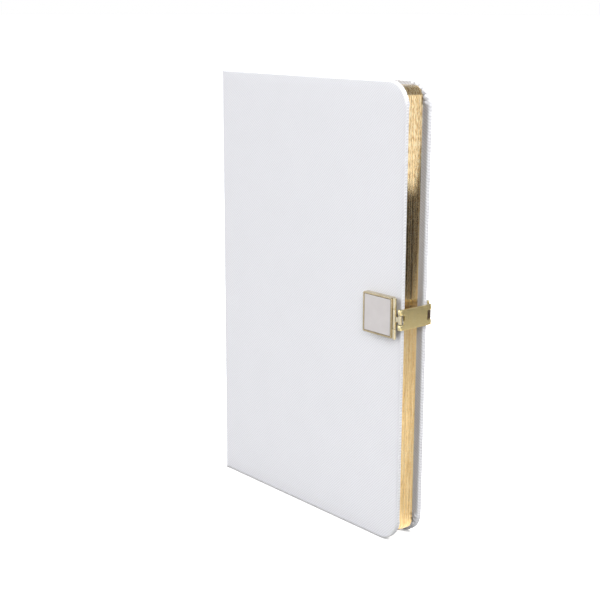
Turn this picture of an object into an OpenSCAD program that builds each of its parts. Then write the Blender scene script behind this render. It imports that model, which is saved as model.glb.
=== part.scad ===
// Prayer book: a cloth-covered, padded case binding with gilt page edges,
// closed by a hinged metal clasp that passes round the fore edge.
// The book stands upright on its tail. The front cover faces -Y, the spine is
// at -X, the fore edge at +X. The origin is under the middle of the whole book.

/* [Covers] */
// Width of a cover, spine to fore edge
cover_w = 130; // [110:1:150]
// Height of a cover, tail to head
cover_h = 210; // [180:1:240]
// Thickness of a cover, cloth to cloth
cover_t = 2.8; // [2.6:0.1:4]
// Radius of a cover's two corners at the fore edge
cover_corner_r = 11; // [4:0.5:15]
// Radius that rounds a cover's edges
cover_edge_r = 0.9; // [0.6:0.1:1.2]
// Thickness of the covering cloth
cloth_t = 0.3; // [0.2:0.05:0.4]
// Thickness of the foam under the cloth of the outer face
foam_t = 0.6; // [0.4:0.1:1]
// Width of foam that wraps the board's edges
foam_wrap = 0.5; // [0.3:0.1:0.8]
// Width of the cloth turned in round the inner face
turn_in_w = 14; // [10:1:18]
// Thickness of the endpapers
endpaper_t = 0.15; // [0.1:0.05:0.25]
// Margin of cloth that shows round a pastedown
pastedown_margin = 3.5; // [2:0.5:6]

/* [Page block] */
// Thickness of the whole closed book, front cloth to back cloth
book_t = 17; // [14:0.2:20]
// Distance from the fore edge of the covers to the fore edge of the pages
fore_square = 3.5; // [2:0.5:6]
// Distance from the head and tail of the covers to those of the pages
head_square = 2.4; // [1.5:0.1:4]
// Radius of the page block's two corners at the fore edge
page_corner_r = 4.5; // [3:0.5:10]
// Gap between neighbouring sections of pages
section_gap = 0.05; // [0.04:0.01:0.08]
// Width of a section's thinner stretch beside its fold
fold_w = 3.4; // [3:0.2:5]

/* [Spine] */
// Thickness of the spine board
spine_board_t = 1.2; // [0.8:0.1:1.4]
// Thickness of the gauze lining on the folds
lining_t = 0.35; // [0.2:0.05:0.4]
// Diameter of the headband's roll
headband_d = 1.5; // [1:0.1:1.8]
// Diameter of the sewing thread
thread_d = 0.3; // [0.2:0.05:0.35]

/* [Clasp] */
// Side of the square clasp plates
plate_side = 18.6; // [16:0.2:22]
// Height of the clasp's middle above the tail of the covers
clasp_z = 107.1; // [80:0.5:130]
// Height of the front clasp above the cover's cloth
front_rise = 2.8; // [2.6:0.1:3.2]
// Thickness of the rear clasp plate
rear_plate_t = 1.1; // [0.8:0.1:1.2]
// Width of the bright frame round the inlay
frame_w = 1.1; // [0.6:0.1:2]
// Thickness of the inlay
inlay_t = 0.45; // [0.3:0.05:0.5]
// Height of the strap, measured along the fore edge
strap_h = 9.4; // [9:0.1:10]
// Thickness of the strap
strap_t = 1; // [0.8:0.1:1.2]
// Radius of the strap's rolled ends
roll_r = 1.05; // [1:0.05:1.1]
// Radius of the hinge barrels
barrel_r = 0.85; // [0.8:0.05:0.9]
// Radius of the hinge pins
pin_r = 0.4; // [0.35:0.05:0.45]
// Radial clearance of a barrel that turns on its pin
running_gap = 0.03; // [0.02:0.01:0.06]

/* [Hidden] */
$fn = 64;
SECTION_COUNT = 12;
SECTION_NAMES = [for (i = [1 : SECTION_COUNT]) str("section_", i < 10 ? "0" : "", i)];

CLOTH = "white";
PAPER = "ivory";
GREYBOARD = "tan";
GOLD = "gold";

// The covers start just behind the spine cloth, which wraps the whole spine
hinge_gap = 0.2;
cover_x = cloth_t + hinge_gap;
window_x = cover_x + 6;
window_r = 3;
pastedown_r = max(cover_corner_r - pastedown_margin, 0.5);

// The page block between the two endpapers
paper_gap = 0.1;
fold_x = 3.2;
fold_half_t = 0.08;
fold_neck_w = 1.2;
block_x = cover_w - fore_square;
block_z = [head_square, cover_h - head_square];
flyleaf_y = cover_t + endpaper_t + paper_gap;
block_y = flyleaf_y + endpaper_t + section_gap;
section_pitch = (book_t - 2 * block_y + section_gap) / SECTION_COUNT;
section_t = section_pitch - section_gap;

// The spine's pieces, from the cloth inwards
spine_side_gap = 0.35;
spine_y = [cover_t + endpaper_t + spine_side_gap, book_t - cover_t - endpaper_t - spine_side_gap];
lining_x = fold_x - fold_half_t - thread_d - lining_t - 0.05;
lining_end = 6;
thread_rows = 6;
thread_x = lining_x + lining_t + thread_d / 2;
band_strip_h = 9;
band_strip_t = 0.2;

// Hinge centres of the clasp, seen from above
front_hinge = [cover_w - 1.25, -2.5];
front_hook = [cover_w + 2.25, -2.5];
rear_hook = [cover_w + 2.25, book_t - 1.5];
rear_hinge = [cover_w - 1.6, book_t + 1.4];

// Heights of the hinges and their barrels
front_hinge_h = plate_side;
rear_hinge_h = strap_h + 1;
front_barrel_h = 8.8;
rear_barrel_h = 4.8;
hook_barrel_h = 3.9;
knuckle_gap = 0.25;
notch_h = hook_barrel_h + 2 * knuckle_gap;
notch_depth = 1.9;
tongue_h = 2.4;
tongue_t = 0.7;
link_gap = 0.25;

// Front clasp, from the cloth outwards
base_t = 0.6;
boss_t = 0.9;
boss_side = 14.6;
boss_gap = 0.05;
inlay_sink = 0.05;
frame_x = front_hinge[0] - barrel_r - link_gap - plate_side;
frame_r = 0.6;
rear_plate_x = rear_hinge[0] - barrel_r - link_gap - plate_side;

// Rivets through a cover
rivet_r = 0.8;
rivet_head_r = 1.6;
rivet_head_t = 0.4;
rivet_dome_t = 0.5;
rivet_spread = 9;

// The origin is under the middle of the box round the whole book
origin_x = (front_hook[0] + roll_r) / 2;
origin_y = (front_hook[1] - roll_r + rear_hinge[1] + barrel_r) / 2;

// ---- Shapes that repeat ----

// A rectangle whose two corners at high x are rounded
module fore_rounded(x0, x1, z0, z1, r) {
    translate([x0, z0]) square([x1 - x0 - r, z1 - z0]);
    translate([x0, z0 + r]) square([x1 - x0, z1 - z0 - 2 * r]);
    translate([x1 - r, z0 + r]) circle(r);
    translate([x1 - r, z1 - r]) circle(r);
}

// A rectangle with four rounded corners
module all_rounded(x0, x1, y0, y1, r) {
    translate([x0 + r, y0]) square([x1 - x0 - 2 * r, y1 - y0]);
    translate([x0, y0 + r]) square([x1 - x0, y1 - y0 - 2 * r]);
    for (x = [x0 + r, x1 - r], y = [y0 + r, y1 - r]) translate([x, y]) circle(r);
}

// Stands an outline drawn in x and z up between two depths
module stand(y0, y1) {
    translate([0, y1, 0]) rotate([90, 0, 0]) linear_extrude(y1 - y0) children();
}

// A flat slab with rounded fore-edge corners, between two depths
module slab(x0, x1, z0, z1, r, y0, y1) {
    stand(y0, y1) fore_rounded(x0, x1, z0, z1, r);
}

// A cover's body, drawn in from its outer surface by inset, with softened edges
module cover_body(inset) {
    x0 = cover_x + inset;
    x1 = cover_w - inset;
    y1 = cover_t - inset;
    z1 = cover_h - inset;
    edge = cover_edge_r - inset;
    intersection() {
        slab(x0, x1, inset, z1, cover_corner_r - inset, inset, y1);
        translate([0, 0, inset]) linear_extrude(z1 - inset) fore_rounded(x0, x1, inset, y1, edge);
        translate([x0, 0, 0]) rotate([90, 0, 90]) linear_extrude(x1 - x0) all_rounded(inset, y1, inset, z1, edge);
    }
}

// The board's shape: flat, square-edged, and drawn in from the cover's outline
module board_slab() {
    inset = cloth_t + foam_wrap;
    slab(cover_x + cloth_t, cover_w - inset, inset, cover_h - inset, cover_corner_r - inset,
        cloth_t + foam_t, cover_t - cloth_t);
}

// The opening that the turned-in cloth leaves on the inner face
module turn_in_window(y0, y1) {
    stand(y0, y1)
        all_rounded(window_x, cover_w - turn_in_w, turn_in_w, cover_h - turn_in_w, window_r);
}

// Turns a piece of the front cover into the matching one of the back cover
module to_back() {
    translate([0, book_t, 0]) mirror([0, 1, 0]) children();
}

// Moves the book from its own corner to the origin
module placed() {
    translate([-origin_x, -origin_y, 0]) children();
}

// Puts children at the two rivet places of a clasp plate
module at_rivets(plate_x, y) {
    for (z = [-rivet_spread / 2, rivet_spread / 2])
        translate([plate_x + plate_side / 2, y, clasp_z + z]) rotate([-90, 0, 0]) children();
}

// The hole that a rivet needs through a cover, with room for its inner head
module rivet_holes(plate_x) {
    at_rivets(plate_x, -front_rise) cylinder(h = cover_t + front_rise - cloth_t, r = rivet_r);
    at_rivets(plate_x, cover_t - cloth_t - rivet_head_t) cylinder(h = rivet_head_t, r = rivet_head_r);
}

// A barrel or pin standing at a hinge centre, between two heights
module post(centre, z0, z1, r) {
    translate([centre[0], centre[1], z0]) cylinder(h = z1 - z0, r = r);
}

// The two outer knuckles of a clasp plate, joined to the plate's edge
module plate_knuckles(hinge, plate_edge, hinge_h, link_barrel_h) {
    half = hinge_h / 2;
    inner = link_barrel_h / 2 + knuckle_gap;
    for (side = [-1, 1]) {
        z0 = clasp_z + min(side * inner, side * half);
        difference() {
            union() {
                post(hinge, z0, z0 + half - inner, barrel_r);
                translate([plate_edge - 0.3, hinge[1] - tongue_t / 2, z0])
                    cube([hinge[0] - plate_edge + 0.3, tongue_t, half - inner]);
            }
            post(hinge, z0 - 1, z0 + half - inner + 1, pin_r);
        }
    }
}

// A link: a long barrel on the plate's pin, and a tongue to a short barrel in the strap's notch
module link(hinge, hook, link_barrel_h) {
    run = hook - hinge;
    difference() {
        union() {
            post(hinge, clasp_z - link_barrel_h / 2, clasp_z + link_barrel_h / 2, barrel_r);
            post(hook, clasp_z - hook_barrel_h / 2, clasp_z + hook_barrel_h / 2, barrel_r);
            translate([hinge[0], hinge[1], clasp_z - tongue_h / 2])
                rotate([0, 0, atan2(run[1], run[0])])
                    translate([0, -tongue_t / 2, 0]) cube([norm(run), tongue_t, tongue_h]);
        }
        post(hinge, 0, cover_h, pin_r + running_gap);
        post(hook, 0, cover_h, pin_r + running_gap);
    }
}

// One section of pages, seen from above: a thin fold that widens to the section's thickness
module section_plan(centre_y) {
    half = section_t / 2;
    translate([fold_x, centre_y])
        polygon([
            [0, -fold_half_t], [fold_neck_w, -fold_half_t], [fold_w, -half], [block_x - fold_x, -half],
            [block_x - fold_x, half], [fold_w, half], [fold_neck_w, fold_half_t], [0, fold_half_t]
        ]);
    translate([fold_x, centre_y]) circle(fold_half_t);
}

// ---- Covers ----

module cover_cloth(plate_x) {
    difference() {
        cover_body(0);
        cover_body(cloth_t);
        turn_in_window(cover_t - cloth_t, cover_t);
        rivet_holes(plate_x);
    }
}

module cover_foam(plate_x) {
    difference() {
        cover_body(cloth_t);
        board_slab();
        rivet_holes(plate_x);
    }
}

module cover_board(plate_x) {
    difference() {
        board_slab();
        rivet_holes(plate_x);
    }
}

module cover_pastedown() {
    slab(window_x - 3, cover_w - pastedown_margin, pastedown_margin, cover_h - pastedown_margin,
        pastedown_r, cover_t, cover_t + endpaper_t);
    turn_in_window(cover_t - cloth_t, cover_t);
}

module flyleaf() {
    slab(fold_x + fold_neck_w, block_x, block_z[0], block_z[1], page_corner_r, flyleaf_y, flyleaf_y + endpaper_t);
}

module front_cloth() color(CLOTH) placed() cover_cloth(frame_x);
module front_foam() color("whitesmoke") placed() cover_foam(frame_x);
module front_board() color(GREYBOARD) placed() cover_board(frame_x);
module front_pastedown() color(PAPER) placed() cover_pastedown();
module front_flyleaf() color(PAPER) placed() flyleaf();
module back_cloth() color(CLOTH) placed() to_back() cover_cloth(rear_plate_x);
module back_foam() color("whitesmoke") placed() to_back() cover_foam(rear_plate_x);
module back_board() color(GREYBOARD) placed() to_back() cover_board(rear_plate_x);
module back_pastedown() color(PAPER) placed() to_back() cover_pastedown();
module back_flyleaf() color(PAPER) placed() to_back() flyleaf();

// ---- Spine ----

module spine_cloth() color(CLOTH) placed()
    translate([0, hinge_gap, 0]) cube([cloth_t, book_t - 2 * hinge_gap, cover_h]);

module spine_board() color(GREYBOARD) placed()
    translate([cloth_t, spine_y[0], cloth_t])
        cube([spine_board_t, spine_y[1] - spine_y[0], cover_h - 2 * cloth_t]);

module spine_lining() color("linen") placed()
    translate([lining_x, spine_y[0], block_z[0] + lining_end])
        cube([lining_t, spine_y[1] - spine_y[0], block_z[1] - block_z[0] - 2 * lining_end]);

// Threads that cross the folds behind the lining, from the first section to the last
module sewing_thread() color("snow") placed() {
    rows_h = block_z[1] - block_z[0] - 4 * lining_end;
    for (i = [0 : thread_rows - 1])
        translate([thread_x, spine_y[0], block_z[0] + 2 * lining_end + rows_h * i / (thread_rows - 1)])
            rotate([-90, 0, 0]) cylinder(h = spine_y[1] - spine_y[0], d = thread_d);
}

// A roll over the ends of the folds, with a strip that is glued to the lining
module band() {
    roll = headband_d / 2;
    strip_x = lining_x - band_strip_t;
    translate([strip_x + roll, spine_y[0], block_z[1] + paper_gap + roll])
        rotate([-90, 0, 0]) cylinder(h = spine_y[1] - spine_y[0], r = roll);
    translate([strip_x, spine_y[0], block_z[1] + paper_gap + roll - band_strip_h])
        cube([band_strip_t, spine_y[1] - spine_y[0], band_strip_h]);
}

module headband() color("ghostwhite") placed() band();
module tailband() color("ghostwhite") placed() translate([0, 0, cover_h]) mirror([0, 0, 1]) band();

// ---- Pages ----

module page_section(i) color(PAPER) placed()
    intersection() {
        translate([0, 0, block_z[0]]) linear_extrude(block_z[1] - block_z[0])
            section_plan(block_y + section_t / 2 + i * section_pitch);
        slab(0, block_x, block_z[0], block_z[1], page_corner_r, 0, book_t);
    }

// ---- Clasp ----

// A square plate with slightly rounded corners, between two depths
module square_plate(x0, side, r, y0, y1) {
    inset = (plate_side - side) / 2;
    z0 = clasp_z - side / 2;
    stand(y0, y1) all_rounded(x0 + inset, x0 + inset + side, z0, z0 + side, r);
}

module front_clasp_base() color("silver") placed()
    difference() {
        union() {
            square_plate(frame_x, plate_side - 1, frame_r, -base_t, 0);
            square_plate(frame_x, boss_side, frame_r, -base_t - boss_t, -base_t);
        }
        rivet_holes(frame_x);
    }

module front_clasp_frame() color(GOLD) placed() {
    difference() {
        square_plate(frame_x, plate_side, frame_r, -front_rise, -base_t);
        square_plate(frame_x, boss_side + 2 * boss_gap, frame_r, -base_t - boss_t - boss_gap, -base_t);
        square_plate(frame_x, plate_side - 2 * frame_w, frame_r / 2, -front_rise, -front_rise + inlay_t + inlay_sink);
    }
    plate_knuckles(front_hinge, frame_x + plate_side, front_hinge_h, front_barrel_h);
}

module front_clasp_inlay() color("lavenderblush") placed()
    square_plate(frame_x, plate_side - 2 * frame_w, frame_r / 2,
        -front_rise + inlay_sink, -front_rise + inlay_t + inlay_sink);

module front_clasp_rivets() color("silver") placed() {
    at_rivets(frame_x, -base_t - boss_t) cylinder(h = base_t + boss_t + cover_t - cloth_t, r = rivet_r);
    at_rivets(frame_x, cover_t - cloth_t - rivet_head_t) cylinder(h = rivet_head_t, r = rivet_head_r);
}

module front_hinge_pin() color(GOLD) placed()
    post(front_hinge, clasp_z - front_hinge_h / 2, clasp_z + front_hinge_h / 2, pin_r);

module front_link() color(GOLD) placed() link(front_hinge, front_hook, front_barrel_h);

// Fills the bore of the link's short barrel
module front_link_pin() color(GOLD) placed()
    post(front_hook, clasp_z - hook_barrel_h / 2, clasp_z + hook_barrel_h / 2, pin_r + running_gap);

// A flat bar between two rolled ends, each with a notch for a link's short barrel
module strap() color(GOLD) placed()
    difference() {
        union() {
            translate([front_hook[0] + roll_r - strap_t, front_hook[1], clasp_z - strap_h / 2])
                cube([strap_t, rear_hook[1] - front_hook[1], strap_h]);
            for (hook = [front_hook, rear_hook]) post(hook, clasp_z - strap_h / 2, clasp_z + strap_h / 2, roll_r);
        }
        for (hook = [[front_hook, -1], [rear_hook, 1]]) {
            reach = hook[1] > 0 ? [-notch_depth, 2 * roll_r] : [-2 * roll_r, notch_depth];
            translate([front_hook[0] - 2 * roll_r, hook[0][1] + reach[0], clasp_z - notch_h / 2])
                cube([4 * roll_r, reach[1] - reach[0], notch_h]);
        }
        post(rear_hook, 0, cover_h, pin_r);
    }

module strap_pin() color(GOLD) placed()
    post(rear_hook, clasp_z - strap_h / 2, clasp_z + strap_h / 2, pin_r);

module rear_link() color(GOLD) placed() link(rear_hinge, rear_hook, rear_barrel_h);

module rear_hinge_pin() color(GOLD) placed()
    post(rear_hinge, clasp_z - rear_hinge_h / 2, clasp_z + rear_hinge_h / 2, pin_r);

module rear_clasp_plate() color(GOLD) placed() {
    difference() {
        square_plate(rear_plate_x, plate_side, frame_r, book_t, book_t + rear_plate_t);
        to_back() rivet_holes(rear_plate_x);
    }
    plate_knuckles(rear_hinge, rear_plate_x + plate_side, rear_hinge_h, rear_barrel_h);
}

module rear_clasp_rivets() color(GOLD) placed() to_back() {
    at_rivets(rear_plate_x, -rear_plate_t) cylinder(h = rear_plate_t + cover_t - cloth_t, r = rivet_r);
    at_rivets(rear_plate_x, cover_t - cloth_t - rivet_head_t) cylinder(h = rivet_head_t, r = rivet_head_r);
    at_rivets(rear_plate_x, -rear_plate_t - rivet_dome_t)
        cylinder(h = rivet_dome_t, r1 = rivet_r, r2 = rivet_head_r);
}

// ---- Assembly ----

front_cloth();
front_foam();
front_board();
front_pastedown();
front_flyleaf();
back_cloth();
back_foam();
back_board();
back_pastedown();
back_flyleaf();
spine_cloth();
spine_board();
spine_lining();
sewing_thread();
headband();
tailband();
front_clasp_base();
front_clasp_frame();
front_clasp_inlay();
front_clasp_rivets();
front_hinge_pin();
front_link();
front_link_pin();
strap();
strap_pin();
rear_link();
rear_hinge_pin();
rear_clasp_plate();
rear_clasp_rivets();
for (i = [0 : SECTION_COUNT - 1])
    page_section(i);
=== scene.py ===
"""Looks of the prayer book: cloth covers, gilt leaves and a metal clasp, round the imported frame.

Shapes are in book millimetres: x from the spine, y from the front cloth, z from the tail.
"""
import math

import bmesh
import bpy
import numpy as np
from mathutils import Matrix, Vector


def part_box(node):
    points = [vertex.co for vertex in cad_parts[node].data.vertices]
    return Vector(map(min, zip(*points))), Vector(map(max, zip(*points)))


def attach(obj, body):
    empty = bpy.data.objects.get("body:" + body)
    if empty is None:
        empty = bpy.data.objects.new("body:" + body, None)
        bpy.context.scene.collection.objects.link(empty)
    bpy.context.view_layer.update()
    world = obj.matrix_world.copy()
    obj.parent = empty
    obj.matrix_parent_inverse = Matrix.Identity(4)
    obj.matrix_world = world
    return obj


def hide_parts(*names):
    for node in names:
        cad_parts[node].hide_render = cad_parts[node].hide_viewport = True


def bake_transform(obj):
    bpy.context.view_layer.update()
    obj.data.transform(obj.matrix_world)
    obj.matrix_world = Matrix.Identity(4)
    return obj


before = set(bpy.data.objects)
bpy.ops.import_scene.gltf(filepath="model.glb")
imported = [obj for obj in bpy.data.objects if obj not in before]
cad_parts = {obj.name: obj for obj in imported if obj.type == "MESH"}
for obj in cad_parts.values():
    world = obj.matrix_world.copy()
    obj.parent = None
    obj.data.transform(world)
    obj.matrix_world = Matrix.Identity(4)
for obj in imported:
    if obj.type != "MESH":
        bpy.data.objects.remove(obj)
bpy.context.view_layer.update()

MM = 0.001
ORIGIN = np.array([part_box("spine_cloth")[0].x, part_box("front_cloth")[0].y, 0.0])


def low(node):
    """The lowest corner of a CAD node's box, in book millimetres."""
    return (np.array(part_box(node)[0]) - ORIGIN) / MM


def high(node):
    """The highest corner of a CAD node's box, in book millimetres."""
    return (np.array(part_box(node)[1]) - ORIGIN) / MM


def metres(point):
    """A place in the frame's metres, from book millimetres."""
    return np.array(point) * MM + ORIGIN


# ---- Sizes of the book: from the frame, apart from the radii and the cloth ----

QUARTER = math.pi / 2
COVER_W, COVER_T, COVER_H = high("front_cloth")
BOOK_T = high("back_cloth")[1]
CORNER_R = 11.0                # fore corners of the covers
EDGE_R = 0.9                   # soft edge of a cover, seen in section
CLOTH_T = 0.3
MARGIN = COVER_W - high("front_pastedown")[0]
SECTIONS = [f"section_{i:02d}" for i in range(1, 13)]
FIRST, LAST = SECTIONS[0], SECTIONS[-1]
BLOCK_X = high(FIRST)[0]
BLOCK_Z = (low(FIRST)[2], high(FIRST)[2])
BLOCK_R = 4.5                  # fore corners of the leaves
FOLD_X = low(FIRST)[0] + 0.08
PITCH = (high(LAST)[1] - low(FIRST)[1] + 0.05) / len(SECTIONS)
CLASP_Z = (low("strap")[2] + high("strap")[2]) / 2
SPINE_Y = (low("spine_board")[1], high("spine_board")[1])


# ---- Mesh helpers ----

WELD = 1e-7  # points nearer to each other than this, in metres, become one


class Parts:
    """Patches of one mesh, each with texture coordinates in millimetres and a material number."""

    def __init__(self):
        self.points, self.faces, self.uvs, self.slots = [], [], [], []

    def patch(self, points, faces, uvs, slot=0):
        """Add faces over a list of points, with one texture coordinate for each point."""
        base = len(self.points)
        self.points.extend(np.asarray(points, float).tolist())
        for face in faces:
            self.faces.append([base + i for i in face])
            self.uvs.append([tuple(uvs[i]) for i in face])
            self.slots.append(slot)

    def turned(self, side):
        """The same patches for the front cover, or mirrored for the back one."""
        if side == "front":
            return self
        other = Parts()
        other.points = [[x, BOOK_T - y, z] for x, y, z in self.points]
        other.faces = [face[::-1] for face in self.faces]
        other.uvs = [[(-u, v) for u, v in row[::-1]] for row in self.uvs]
        other.slots = list(self.slots)
        return other

    def build(self, name, materials, sharp):
        """Weld the patches to one object. Rims, and edges over an angle in degrees, stay crisp."""
        mesh = bpy.data.meshes.new(name)
        mesh.from_pydata(metres(self.points).tolist(), [], self.faces)
        layer = mesh.uv_layers.new(name="flat_mm")
        corners = np.array([corner for row in self.uvs for corner in row], np.float32)
        layer.data.foreach_set("uv", corners.ravel())
        for material in materials:
            mesh.materials.append(material)
        mesh.polygons.foreach_set("material_index", self.slots)
        work = bmesh.new()
        work.from_mesh(mesh)
        bmesh.ops.remove_doubles(work, verts=work.verts, dist=WELD)
        bmesh.ops.dissolve_degenerate(work, dist=WELD / 10, edges=work.edges)
        work.to_mesh(mesh)
        rims = [edge.index for edge in work.edges if edge.is_boundary]
        work.free()
        mesh.polygons.foreach_set("use_smooth", [True] * len(mesh.polygons))
        mesh.set_sharp_from_angle(angle=math.radians(sharp))
        for index in rims:
            mesh.edges[index].use_edge_sharp = True
        piece = bpy.data.objects.new(name, mesh)
        bpy.context.scene.collection.objects.link(piece)
        return piece


def grid_faces(rows, columns, wrap=False, flip=False):
    """Quads of a grid of points stored row by row."""
    faces = []
    for r in range(rows - 1):
        for c in range(columns if wrap else columns - 1):
            d = (c + 1) % columns
            this, after = r * columns, (r + 1) * columns
            quad = [this + c, this + d, after + d, after + c]
            faces.append(quad[::-1] if flip else quad)
    return faces


def cap_faces(total, count):
    """The two end faces of a stack of rings with that many points each."""
    return [list(range(count))[::-1], list(range(total - count, total))]


def border(stations, width, z_low, z_high, radius, corner_steps=12, fore_steps=6):
    """A path along the head, round the two fore corners, and back along the tail.

    Gives its points, their inward directions, and how many points lie before the first corner.
    """
    points, inward = [], []
    straight = z_low - z_high + 2 * radius
    head = [s for s in stations if s < width - radius - 0.01]
    for s in head:
        points.append((s, z_high))
        inward.append((0, -1))
    for centre_z, start in ((z_high - radius, QUARTER), (z_low + radius, 0.0)):
        for k in range(corner_steps + 1):
            a = start - QUARTER * k / corner_steps
            points.append((width - radius + radius * math.cos(a), centre_z + radius * math.sin(a)))
            inward.append((-math.cos(a), -math.sin(a)))
        if start > 0:
            for k in range(1, fore_steps):
                points.append((width, z_high - radius + straight * k / fore_steps))
                inward.append((-1, 0))
    for s in head[::-1]:
        points.append((s, z_low))
        inward.append((0, 1))
    return np.array(points, float), np.array(inward, float), len(head)


def fill_faces(count, head, flip=False):
    """Strips between the head and tail sides of a border ring, and one face for its fore end."""
    faces = [[k, count - 1 - k, count - 2 - k, k + 1] for k in range(head)]
    faces.append(list(range(head, count - head))[::-1])
    return [f[::-1] for f in faces] if flip else faces


POINT_R = 1e-4  # radius of a turned shape where it closes on its axis


def revolve(parts, axis_start, axis_end, profile, steps=32, slot=0):
    """A turned shape about a line. The profile gives (distance along, radius) from start to end."""
    a, b = np.array(axis_start, float), np.array(axis_end, float)
    d = (b - a) / np.linalg.norm(b - a)
    side = np.cross(d, [1.0, 0, 0] if abs(d[0]) < 0.9 else [0, 1.0, 0])
    side /= np.linalg.norm(side)
    up = np.cross(d, side)
    rows, uvs = [], []
    for along, radius in profile:
        for k in range(steps):
            t = 2 * math.pi * k / steps
            out = side * math.cos(t) + up * math.sin(t)
            rows.append(a + d * along + out * max(radius, POINT_R))
            uvs.append((t, along))
    parts.patch(rows, grid_faces(len(profile), steps, wrap=True), uvs, slot)


def barrel(parts, centre, z0, z1, radius, edge=0.12, slot=0):
    """A solid upright cylinder with softened ends."""
    length = z1 - z0
    profile = [(0, 0), (0, radius - edge), (edge * 0.3, radius - edge * 0.3), (edge, radius)]
    profile += [(length - a, r) for a, r in profile[::-1]]
    revolve(parts, (centre[0], centre[1], z0), (centre[0], centre[1], z1), profile, slot=slot)


def rounded_rect(x0, x1, z0, z1, radius, steps=5):
    """Corner points of a rectangle with round corners, anticlockwise seen from -y."""
    points = []
    for cx, cz, start in ((x1 - radius, z1 - radius, 0), (x0 + radius, z1 - radius, 1),
                          (x0 + radius, z0 + radius, 2), (x1 - radius, z0 + radius, 3)):
        for k in range(steps + 1):
            a = QUARTER * (start + k / steps)
            points.append((cx + radius * math.cos(a), cz + radius * math.sin(a)))
    return np.array(points)


def plate(parts, box, radius, levels, groove_slot=0):
    """A rounded rectangular plate. Levels are (y, inset) from one cap to the other.

    The first cap and the wall beside it take the groove's material; on the front plate that is
    painted shade.
    """
    x0, x1, z0, z1 = box
    rings = []
    for y, inset in levels:
        outline = rounded_rect(x0 + inset, x1 - inset, z0 + inset, z1 - inset,
                               max(radius - inset, 0.04))
        rings.append(np.array([(x, y, z) for x, z in outline]))
    count = len(rings[0])
    points = np.concatenate(rings)
    uvs = [(p[0] + p[1], p[2]) for p in points]
    faces = grid_faces(len(rings), count, wrap=True)
    first, last = cap_faces(len(points), count)
    parts.patch(points, faces[:count] + [first], uvs, groove_slot)
    parts.patch(points, faces[count:] + [last], uvs)


def bevelled_levels(y0, y1, edge):
    """Levels of a plate whose edges are softened."""
    return [(y0, edge), (y0 + edge * 0.3, edge * 0.3), (y0 + edge, 0),
            (y1 - edge, 0), (y1 - edge * 0.3, edge * 0.3), (y1, edge)]


# ---- Node helpers ----

def set_stops(node, stops):
    """The stops of a colour ramp, as (place, colour)."""
    elements = node.color_ramp.elements
    while len(elements) < len(stops):
        elements.new(0.5)
    for element, (place, colour) in zip(elements, stops):
        element.position = place
        element.color = (*colour, 1.0)


class Nodes:
    """Short calls for making a material's nodes."""

    def __init__(self, name):
        self.material = bpy.data.materials.new(name)
        self.material.use_nodes = True
        self.tree = self.material.node_tree
        self.shader = self.tree.nodes["Principled BSDF"]

    def add(self, kind, **settings):
        node = self.tree.nodes.new(kind)
        for key, value in settings.items():
            setattr(node, key, value)
        return node

    def feed(self, socket, value):
        """Link a socket, or set it to a number or a colour."""
        if isinstance(value, bpy.types.NodeSocket):
            self.tree.links.new(value, socket)
        else:
            socket.default_value = value

    def math(self, operation, a, b=0.0, c=0.0):
        node = self.add("ShaderNodeMath", operation=operation)
        for socket, value in zip(node.inputs, (a, b, c)):
            self.feed(socket, value)
        return node.outputs[0]

    def scaled(self, vector, scale):
        node = self.add("ShaderNodeVectorMath", operation="MULTIPLY")
        self.feed(node.inputs[0], vector)
        node.inputs[1].default_value = scale
        return node.outputs[0]

    def noise(self, vector, scale, detail=3.0, roughness=0.5):
        node = self.add("ShaderNodeTexNoise")
        self.feed(node.inputs["Vector"], vector)
        node.inputs["Scale"].default_value = scale
        node.inputs["Detail"].default_value = detail
        node.inputs["Roughness"].default_value = roughness
        return node.outputs["Fac"]

    def ramp(self, fac, stops):
        node = self.add("ShaderNodeValToRGB")
        self.feed(node.inputs[0], fac)
        set_stops(node, stops)
        return node.outputs[0]

    def range(self, value, low_in, high_in, low_out, high_out):
        """A value moved from one range to another, and kept in it."""
        node = self.add("ShaderNodeMapRange")
        self.feed(node.inputs[0], value)
        for socket, number in zip(list(node.inputs)[1:5], (low_in, high_in, low_out, high_out)):
            socket.default_value = number
        return node.outputs[0]

    def mix(self, fac, a, b):
        """A colour between two others."""
        node = self.add("ShaderNodeMix", data_type="RGBA")
        self.feed(node.inputs[0], fac)
        self.feed(node.inputs[6], (*a, 1.0) if isinstance(a, tuple) else a)
        self.feed(node.inputs[7], (*b, 1.0) if isinstance(b, tuple) else b)
        return node.outputs[2]

    def flat(self):
        """The mesh's own flat coordinates in millimetres."""
        return self.add("ShaderNodeUVMap", uv_map="flat_mm").outputs[0]

    def place(self):
        """Object coordinates in millimetres, for pieces that never bend."""
        where = self.add("ShaderNodeTexCoord").outputs["Object"]
        return self.scaled(where, (1000.0, 1000.0, 1000.0))

    def split(self, vector):
        node = self.add("ShaderNodeSeparateXYZ")
        self.feed(node.inputs[0], vector)
        return node.outputs

    def bump(self, height, strength, distance_mm):
        """Relief from a height, fed to the shader."""
        node = self.add("ShaderNodeBump")
        node.inputs["Strength"].default_value = strength
        node.inputs["Distance"].default_value = distance_mm * MM
        self.feed(node.inputs["Height"], height)
        self.feed(self.shader.inputs["Normal"], node.outputs[0])

    def wave(self, value, pitch):
        """A sine of the given pitch, from 0 to 1."""
        turn = self.math("MULTIPLY", value, 2 * math.pi / pitch)
        return self.math("MULTIPLY_ADD", self.math("SINE", turn), 0.5, 0.5)

    def finish(self, **values):
        """Feed the shader's sockets by name, and give the material."""
        for key, value in values.items():
            self.feed(self.shader.inputs[key.replace("_", " ")], value)
        return self.material


# ---- Materials ----

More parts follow.
